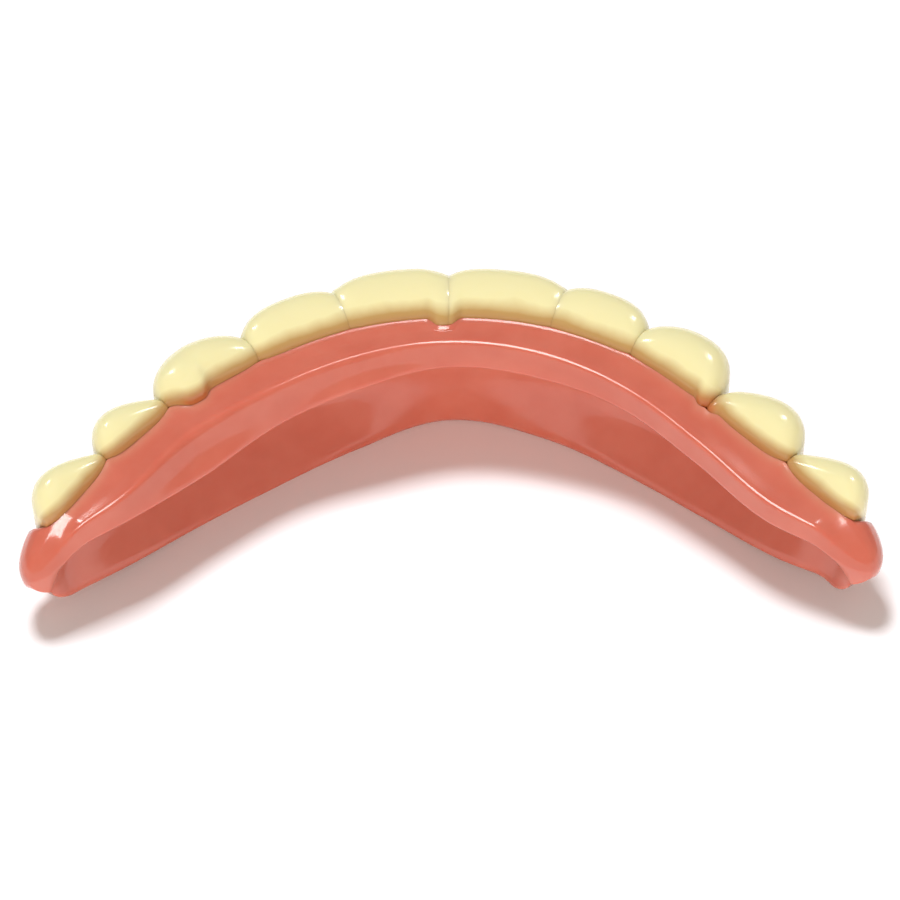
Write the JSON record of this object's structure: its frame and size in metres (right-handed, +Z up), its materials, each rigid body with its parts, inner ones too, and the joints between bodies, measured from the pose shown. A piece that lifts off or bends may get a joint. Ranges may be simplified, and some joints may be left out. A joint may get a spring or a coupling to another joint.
{
  "type": "cosmetic dental veneer",
  "caption": "Clip-on cosmetic veneer: an arch of ivory upper teeth in a glossy pink gum tray with a rolled inner lip, lying gum edge down.",
  "frame": {"origin": "middle of the bounding box's underside, on the surface that the gum rim rests on", "axes": "+X along the front teeth, from one end of the arch to the other; +Y out of the mouth, through the front faces of the central incisors; +Z up, from the gum rim to the biting edges"},
  "size_m": [0.0618, 0.023, 0.0132],
  "materials": {
    "pink_acrylic": "gloss",
    "ivory_acrylic": "gloss"
  },
  "bodies": {
    "root": {"gum_tray": "pink_acrylic", "tooth_premolar2_left": "ivory_acrylic", "tooth_premolar1_left": "ivory_acrylic", "tooth_canine_left": "ivory_acrylic", "tooth_lateral_left": "ivory_acrylic", "tooth_central_left": "ivory_acrylic", "tooth_central_right": "ivory_acrylic", "tooth_lateral_right": "ivory_acrylic", "tooth_canine_right": "ivory_acrylic", "tooth_premolar1_right": "ivory_acrylic", "tooth_premolar2_right": "ivory_acrylic"}
  },
  "joints": []
}
